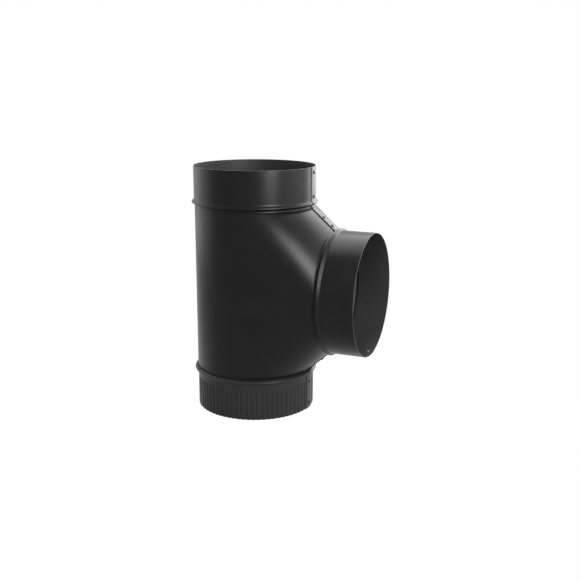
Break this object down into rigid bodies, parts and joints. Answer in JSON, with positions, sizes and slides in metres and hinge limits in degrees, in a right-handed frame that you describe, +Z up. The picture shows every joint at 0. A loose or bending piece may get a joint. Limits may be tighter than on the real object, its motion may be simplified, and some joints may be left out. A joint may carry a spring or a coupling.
{
  "type": "stove pipe tee",
  "caption": "Single-wall stove pipe tee of painted steel sheet: a straight run with a socket at the top and a crimped end below, and a socket branch at right angles.",
  "frame": {"origin": "centre of the crimped end's lower edge, on the axis of the run", "axes": "+Z up the run from the crimped end to the top socket, +X along the branch, out of its socket"},
  "size_m": [0.2371, 0.1596, 0.311],
  "materials": {
    "painted_steel": "satin black high-temperature paint",
    "painted_rivets": "satin black high-temperature paint"
  },
  "bodies": {
    "root": {"body": "painted_steel", "top_collar": "painted_steel", "branch_collar": "painted_steel", "crimped_collar": "painted_steel", "seam_rivets": "painted_rivets"}
  },
  "joints": []
}
